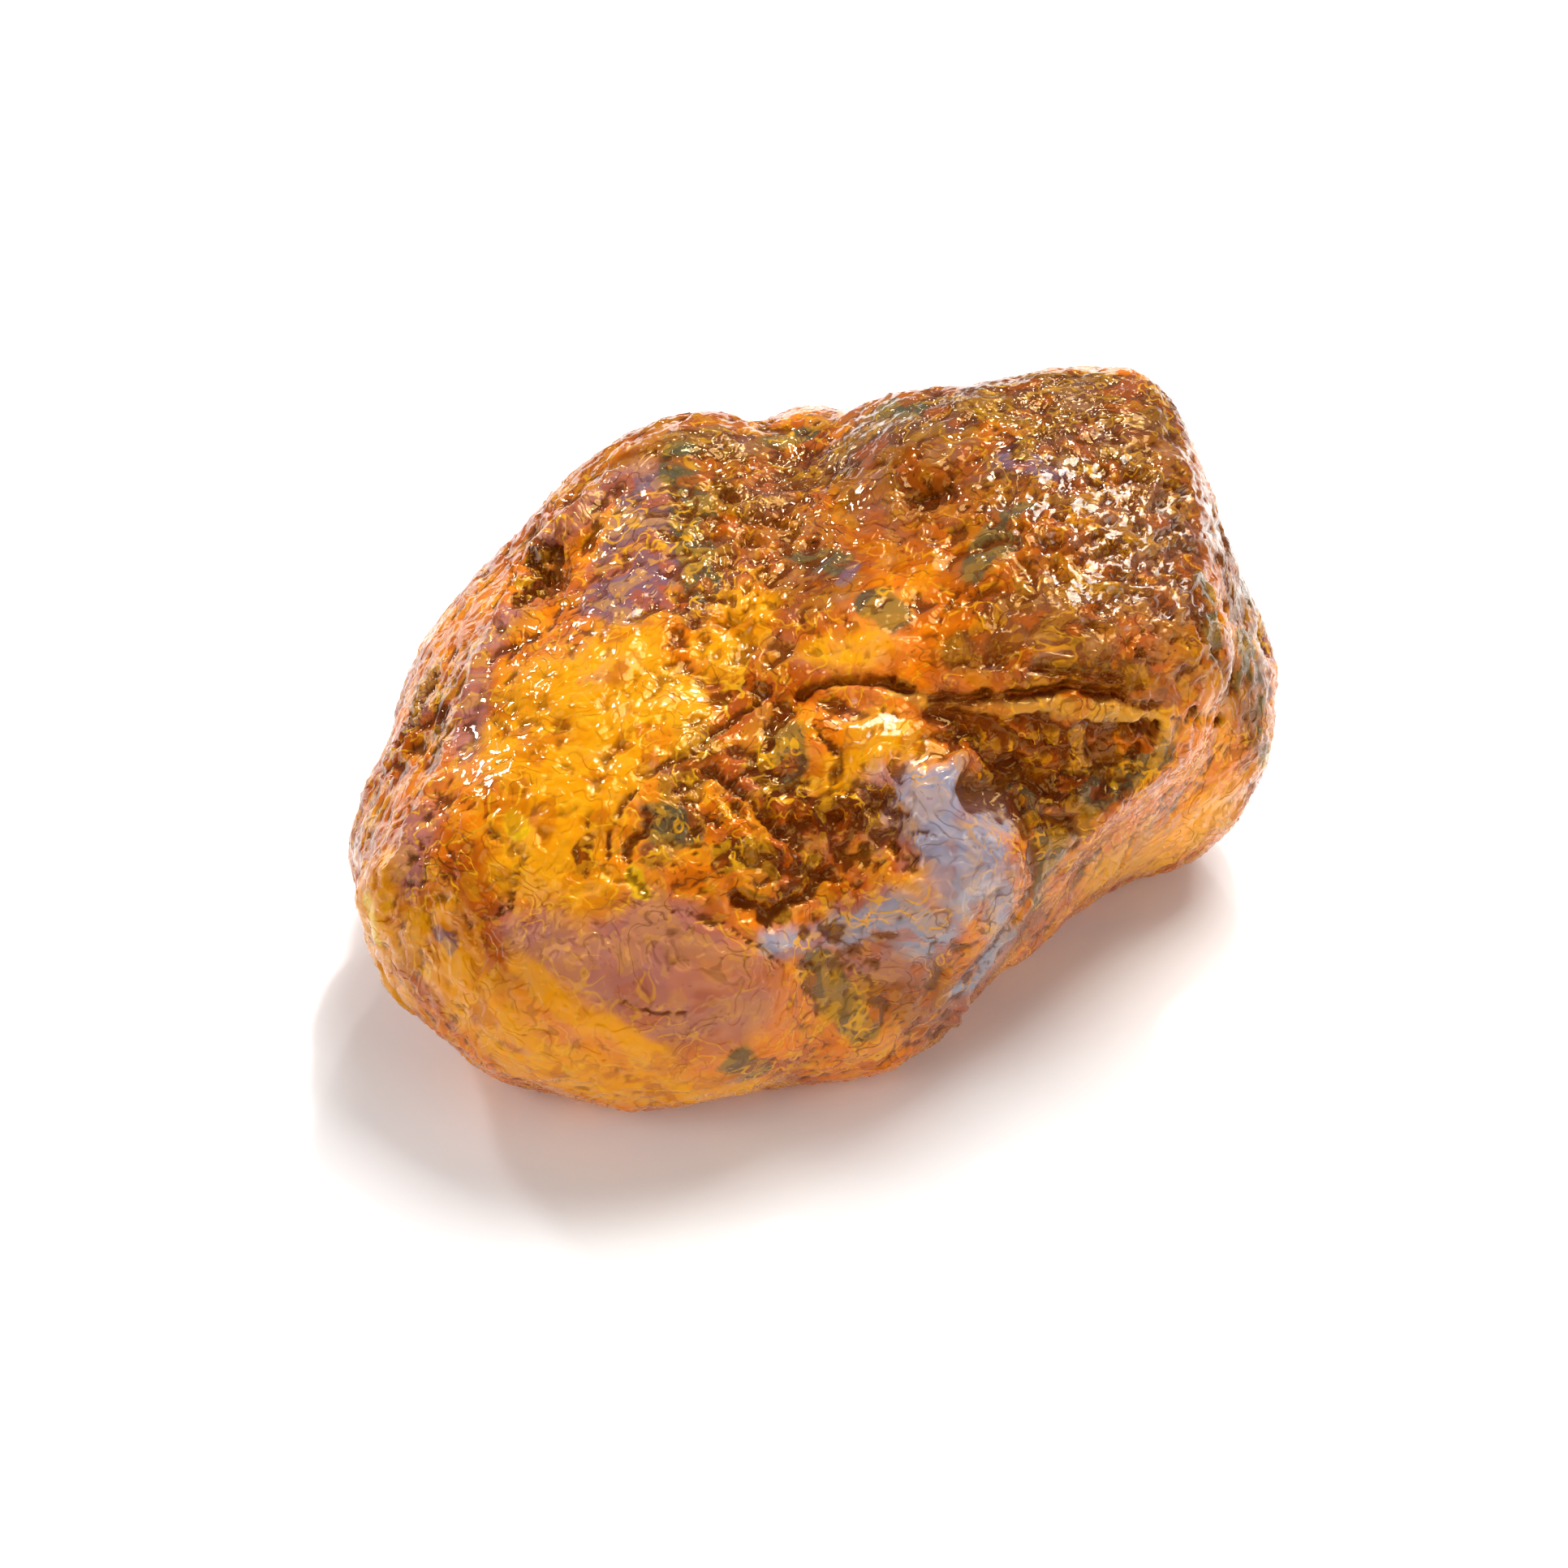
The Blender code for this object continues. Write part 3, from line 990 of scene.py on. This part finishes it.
    def _relief(self, painter: Painter, swirled: Socket) -> Socket:
        """Relief too fine for the mesh: thin flakes, creases and grains.

        Args:
            painter: Places nodes in the amber's tree.
            swirled: Places pulled about in wide swirls.

        Returns:
            The skin's normal.
        """
        flakes = painter.product(painter.clouds(swirled, self.flakes), self.flake_steps)
        step = painter.band(painter.math("FRACT", flakes), self.flake_edge)
        stairs = painter.math("ADD", painter.math("FLOOR", flakes), step)
        creases = painter.clouds(swirled, self.creases)
        grains = painter.product(painter.clouds(swirled, self.grains), painter.mask(Region.CRUST.value))
        height = painter.math("MULTIPLY_ADD", creases, self.crease_height, stairs)
        height = painter.math("MULTIPLY_ADD", grains, self.grain_height, height)
        bump = painter.tree.nodes.new("ShaderNodeBump")
        bump.inputs["Strength"].default_value = self.relief
        bump.inputs["Distance"].default_value = self.flake_height
        painter.tree.links.new(height, bump.inputs["Height"])
        return bump.outputs["Normal"]


@dataclass
class AmberSkin:
    """The nugget's visible skin, a fine copy of its solid. Heights and lengths are in millimetres.

    Args:
        finish: The amber's material.
        camera: The camera that lays the traces.
        spacing: Distance between points of the skin, in metres.
        easing: Rounds of smoothing that take out the solid's facets.
        foot: Points below this height stay as they are, and all others stay above it.
        swell: Height of the rolling swells.
        wrinkle: Height of the wrinkles.
        flake: Thickness of the thin flakes.
        flake_steps: How many flakes lie over one another.
        chip: Height of the small chips.
        pit: Depth of the small pits.
        pit_level: Noise above which a pit begins.
        drawn_in: How far the whole skin is drawn in, so that the relief stays near the solid.
        bend: How far the wrinkles and chips are bent about.
        flake_bend: How far the flakes are bent about.
        fold_steepness: How sharp the wrinkles are.
        crack_wander: How far the wide noise pulls the cracks.
        crack_jitter: How far the small noise pulls the cracks.
        seam_depth: Depth at which a crack is fully darkened, with dirt and painted shade.
        mark_wander: How far the wide noise pulls the borders of the amber's kinds.
        cloud_wander: How far it pulls the clouds of colour.
        shallow: Rounds of easing that find small hollows, and the depth of a full one.
        deep: Rounds of easing that find wide hollows, and the depth of a full one.
    """

    finish: AmberFinish = field(default_factory=AmberFinish)
    camera: PhotoCamera = field(default_factory=PhotoCamera)
    spacing: float = 0.00032
    easing: int = 14
    foot: float = 0.02
    swell: float = 0.30
    wrinkle: float = 0.20
    flake: float = 0.16
    flake_steps: float = 5.0
    chip: float = 0.10
    pit: float = 0.5
    pit_level: float = 0.36
    drawn_in: float = 0.08
    bend: float = 1.1
    flake_bend: float = 0.8
    fold_steepness: float = 2.2
    crack_wander: float = 0.3
    crack_jitter: float = 0.35
    seam_depth: float = 0.5
    mark_wander: float = 0.6
    cloud_wander: float = 0.8
    shallow: tuple[int, float] = (12, 0.12)
    deep: tuple[int, float] = (60, 0.45)
    wander: ClassVar[Clouds] = Clouds(3.0, 3, 11.0, 7.0)
    jitter: ClassVar[Clouds] = Clouds(1.4, 2, 51.0, 3.0)
    bends: ClassVar[Clouds] = Clouds(2.5, 2, 31.0, 5.0)
    swells: ClassVar[Clouds] = Clouds(6.0, 2, 3.0)
    folds: ClassVar[Clouds] = Clouds(1.9, 2, 5.0)
    flakes: ClassVar[Clouds] = Clouds(3.2, 3, 8.0)
    chips: ClassVar[Clouds] = Clouds(1.2, 2, 17.0)
    pits: ClassVar[Clouds] = Clouds(1.1, 2, 23.0)
    crack_depths: ClassVar[Clouds] = Clouds(2.4, 2, 61.0)
    colour_clouds: ClassVar[Clouds] = Clouds(6.5, 4, 71.0)

    def build(self) -> bpy.types.Object:
        """Builds and dresses the skin, in place of the solid.

        Returns:
            The skin.
        """
        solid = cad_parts["amber_lump"]
        form = SolidForm(solid, self.camera)
        piece = self._fine_copy(solid)
        mesh = piece.data
        places = self._read(mesh.vertices, "co") / MM
        start = places.copy()
        wander = self.wander.pull(start)
        rugged = self._spread(form, start + wander, RUGGED)
        calm = self._spread(form, start + wander, CALM)
        sunk = self._creases(form, start, wander)
        outward = self._read(mesh.vertex_normals, "vector")
        places += outward * (self._relief(start, rugged, calm) - sunk)[:, None]
        raised = np.maximum(places[:, 2], self.foot)
        places[:, 2] = np.where(start[:, 2] < self.foot, start[:, 2], raised)
        mesh.vertices.foreach_set("co", (places * MM).ravel())
        mesh.update()
        for region, marks in TRACES.items():
            self._store(mesh, region.value, self._spread(form, start + wander * self.mark_wander, marks))
        # Hollow depth, which darkens the colour: dirt and painted shade.
        self._store(mesh, "cavity", self._cavity(mesh, places))
        self._store(mesh, "calm", calm)
        clouds = self.colour_clouds.at(start + wander * self.cloud_wander)
        self._store(mesh, "cloud", 0.5 + 0.35 * clouds)
        # Crack depth, which darkens the colour: dirt and painted shade.
        self._store(mesh, "crack_dirt_and_shade", np.clip(sunk / self.seam_depth, 0.0, 1.0))
        mesh.shade_smooth()
        mesh.materials.clear()
        mesh.materials.append(self.finish.material())
        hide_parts("amber_lump")
        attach(piece, "root")
        mesh.calc_loop_triangles()
        log.info("%s: %d triangles", piece.name, len(mesh.loop_triangles))
        return piece

    def _fine_copy(self, solid: bpy.types.Object) -> bpy.types.Object:
        """Copies the solid with evenly spaced points, its facets smoothed away.

        Args:
            solid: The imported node.

        Returns:
            The copy, linked in the scene.
        """
        rough = bpy.data.objects.new("amber_skin_rough", solid.data.copy())
        bpy.context.scene.collection.objects.link(rough)
        even = rough.modifiers.new("even", "REMESH")
        even.mode = "VOXEL"
        even.voxel_size = self.spacing
        ease = rough.modifiers.new("ease", "SMOOTH")
        ease.factor = 0.5
        ease.iterations = self.easing
        evaluated = rough.evaluated_get(bpy.context.evaluated_depsgraph_get())
        mesh = bpy.data.meshes.new_from_object(evaluated)
        mesh.name = "amber_skin"
        bpy.data.objects.remove(rough)
        piece = bpy.data.objects.new("amber_skin", mesh)
        bpy.context.scene.collection.objects.link(piece)
        return piece

    def _read(self, values: bpy.types.bpy_prop_collection, name: str) -> np.ndarray:
        """Reads three numbers for each point of the mesh.

        Args:
            values: The mesh's points or directions.
            name: The name that Blender gives the numbers.

        Returns:
            One row a point.
        """
        flat = np.zeros(len(values) * 3)
        values.foreach_get(name, flat)
        return flat.reshape(-1, 3)

    def _store(self, mesh: bpy.types.Mesh, name: str, values: np.ndarray) -> None:
        """Keeps a mask on the mesh under a name."""
        mask = mesh.attributes.new(name, "FLOAT", "POINT")
        mask.data.foreach_set("value", values.astype(np.float32))

    def _spread(self, form: SolidForm, places: np.ndarray, marks: tuple[Trace | Patch, ...]) -> np.ndarray:
        """How strongly each point belongs to a set of marks, from 0 to 1.

        Args:
            form: Lays the marks.
            places: Points in millimetres.
            marks: Traces and patches.

        Returns:
            One value a point.
        """
        share = np.zeros(len(places))
        for mark in marks:
            share = np.maximum(share, np.clip(1.4 - form.gap(places, mark) / mark.reach, 0.0, 1.0))
        return share

    def _creases(self, form: SolidForm, places: np.ndarray, wander: np.ndarray) -> np.ndarray:
        """How deep the cracks cut in at each point.

        Args:
            form: Lays the creases.
            places: Points in millimetres.
            wander: Wide pulls on the points, in millimetres.

        Returns:
            One depth a point, in millimetres.
        """
        moved = places + wander * self.crack_wander + self.jitter.pull(places) * self.crack_jitter
        uneven = np.clip(0.75 + 0.9 * self.crack_depths.at(places), 0.15, 1.3)
        depth = np.zeros(len(places))
        for crease in CREASES:
            depth += crease.depth * np.exp(-((form.gap(moved, crease) / crease.width) ** 2))
        return depth * uneven

    def _relief(self, places: np.ndarray, rugged: np.ndarray, calm: np.ndarray) -> np.ndarray:
        """How far the skin stands out or in at each point, in millimetres.

        Args:
            places: Points in millimetres.
            rugged: Where the skin is broken up, from 0 to 1.
            calm: Where the skin is smooth, from 0 to 1.

        Returns:
            One height a point.
        """
        swells = self.swells.at(places) * self.swell
        pull = self.bends.pull(places)
        bent = places + pull * self.bend
        folds = 1.0 - np.abs(self.folds.at(bent)) * self.fold_steepness
        steps = self.flakes.at(places + pull * self.flake_bend) * self.flake_steps
        stairs = np.floor(steps) + np.clip((steps - np.floor(steps) - 0.35) / 0.3, 0.0, 1.0)
        chips = self.chips.at(bent)
        holes = np.clip(self.pits.at(places) - self.pit_level, 0.0, 0.3) / 0.3
        activity = np.clip(0.75 + 1.5 * rugged - 0.6 * calm, 0.15, 2.2)
        fine = folds * self.wrinkle + (stairs - steps) * self.flake + chips * self.chip
        return swells + activity * fine - holes * self.pit * (0.06 + rugged) - self.drawn_in

    def _cavity(self, mesh: bpy.types.Mesh, places: np.ndarray) -> np.ndarray:
        """How deep each point lies below the skin around it, from 0 to 1.

        Args:
            mesh: The skin's mesh.
            places: Its points in millimetres.

        Returns:
            One value a point.
        """
        outward = self._read(mesh.vertex_normals, "vector")
        flat = np.zeros(len(mesh.edges) * 2, dtype=np.int64)
        mesh.edges.foreach_get("vertices", flat)
        first, second = flat.reshape(-1, 2).T
        degree = np.bincount(flat, minlength=len(places))[:, None]
        eased = places.copy()
        depth = np.zeros(len(places))
        full_depths = dict((self.shallow, self.deep))
        for turn in range(1, max(full_depths) + 1):
            total = np.zeros_like(eased)
            for axis in range(3):
                total[:, axis] += np.bincount(first, eased[second, axis], len(places))
                total[:, axis] += np.bincount(second, eased[first, axis], len(places))
            eased = total / degree
            if turn in full_depths:
                sunk = ((eased - places) * outward).sum(axis=1)
                depth = np.maximum(depth, sunk / full_depths[turn])
        return np.clip(depth, 0.0, 1.0)


@dataclass(frozen=True)
class Softbox:
    """A square studio lamp that points at the nugget.

    Args:
        name: The lamp's name.
        towards: Direction from the nugget to the lamp.
        distance: How far it stands, in millimetres.
        size: Its width, in millimetres.
        power: Its strength, in watts.
        tint: Its colour.
    """

    name: str
    towards: tuple[float, float, float]
    distance: float
    size: float
    power: float
    tint: tuple[float, float, float] = (1.0, 1.0, 1.0)

    def build(self, aim: Vector) -> None:
        """Sets up the lamp.

        Args:
            aim: The point that it faces, in metres.
        """
        light = bpy.data.lights.new(self.name, "AREA")
        light.energy = self.power
        light.size = self.size * MM
        light.color = self.tint
        lamp = bpy.data.objects.new(self.name, light)
        towards = Vector(self.towards).normalized()
        lamp.location = aim + towards * self.distance * MM
        lamp.rotation_euler = (-towards).to_track_quat("-Z", "Y").to_euler()
        bpy.context.scene.collection.objects.link(lamp)


@dataclass
class Studio:
    """White floor, soft light and the camera.

    Args:
        camera: The camera.
        floor_side: The floor's side, in millimetres.
        floor_white: The floor's colour.
        floor_roughness: The floor's roughness.
        sky: Strength of the even light from all round.
        lamps: The lamps.
    """

    camera: PhotoCamera = field(default_factory=PhotoCamera)
    floor_side: float = 6000.0
    floor_white: Colour = (0.92, 0.92, 0.92, 1.0)
    floor_roughness: float = 0.9
    sky: float = 0.25
    lamps: tuple[Softbox, ...] = (
        Softbox("key", (0.28, 0.36, 0.89), 700.0, 380.0, 5.4, (1.0, 0.985, 0.96)),
        Softbox("top_window", (0.18, 0.47, 0.87), 600.0, 40.0, 1.8),
        Softbox("left_window", (-0.60, 0.64, 0.47), 500.0, 50.0, 0.7, (0.94, 0.95, 1.0)),
        Softbox("back_window", (0.05, 0.85, 0.55), 600.0, 34.0, 0.5),
        Softbox("left_fill", (-0.55, -0.50, 0.66), 800.0, 420.0, 1.8),
        Softbox("right_fill", (0.75, -0.45, 0.48), 800.0, 420.0, 1.5),
    )

    def build(self) -> None:
        """Sets up the floor, the sky, the lamps and the camera."""
        self._floor()
        self._sky()
        for lamp in self.lamps:
            lamp.build(Vector(self.camera.aim) * MM)
        self.camera.build()
        bpy.context.scene.view_settings.view_transform = "Standard"

    def _floor(self) -> None:
        """A wide white sheet at z = 0."""
        half = self.floor_side * MM / 2.0
        mesh = bpy.data.meshes.new("floor")
        corners = [(-half, -half, 0.0), (half, -half, 0.0), (half, half, 0.0), (-half, half, 0.0)]
        mesh.from_pydata(corners, [], [(0, 1, 2, 3)])
        sheet = bpy.data.objects.new("floor", mesh)
        bpy.context.scene.collection.objects.link(sheet)
        paper = bpy.data.materials.new("white_paper")
        paper.use_nodes = True
        shader = paper.node_tree.nodes["Principled BSDF"]
        shader.inputs["Base Color"].default_value = self.floor_white
        shader.inputs["Roughness"].default_value = self.floor_roughness
        mesh.materials.append(paper)

    def _sky(self) -> None:
        """Even white light from all round."""
        world = bpy.data.worlds.new("studio")
        world.use_nodes = True
        sky = world.node_tree.nodes["Background"]
        sky.inputs["Color"].default_value = (1.0, 1.0, 1.0, 1.0)
        sky.inputs["Strength"].default_value = self.sky
        bpy.context.scene.world = world


def main() -> None:
    """Builds the nugget's skin and the studio."""
    logging.basicConfig(level=logging.INFO, format="%(message)s")
    AmberSkin().build()
    Studio().build()


if __name__ == "__main__":
    main()
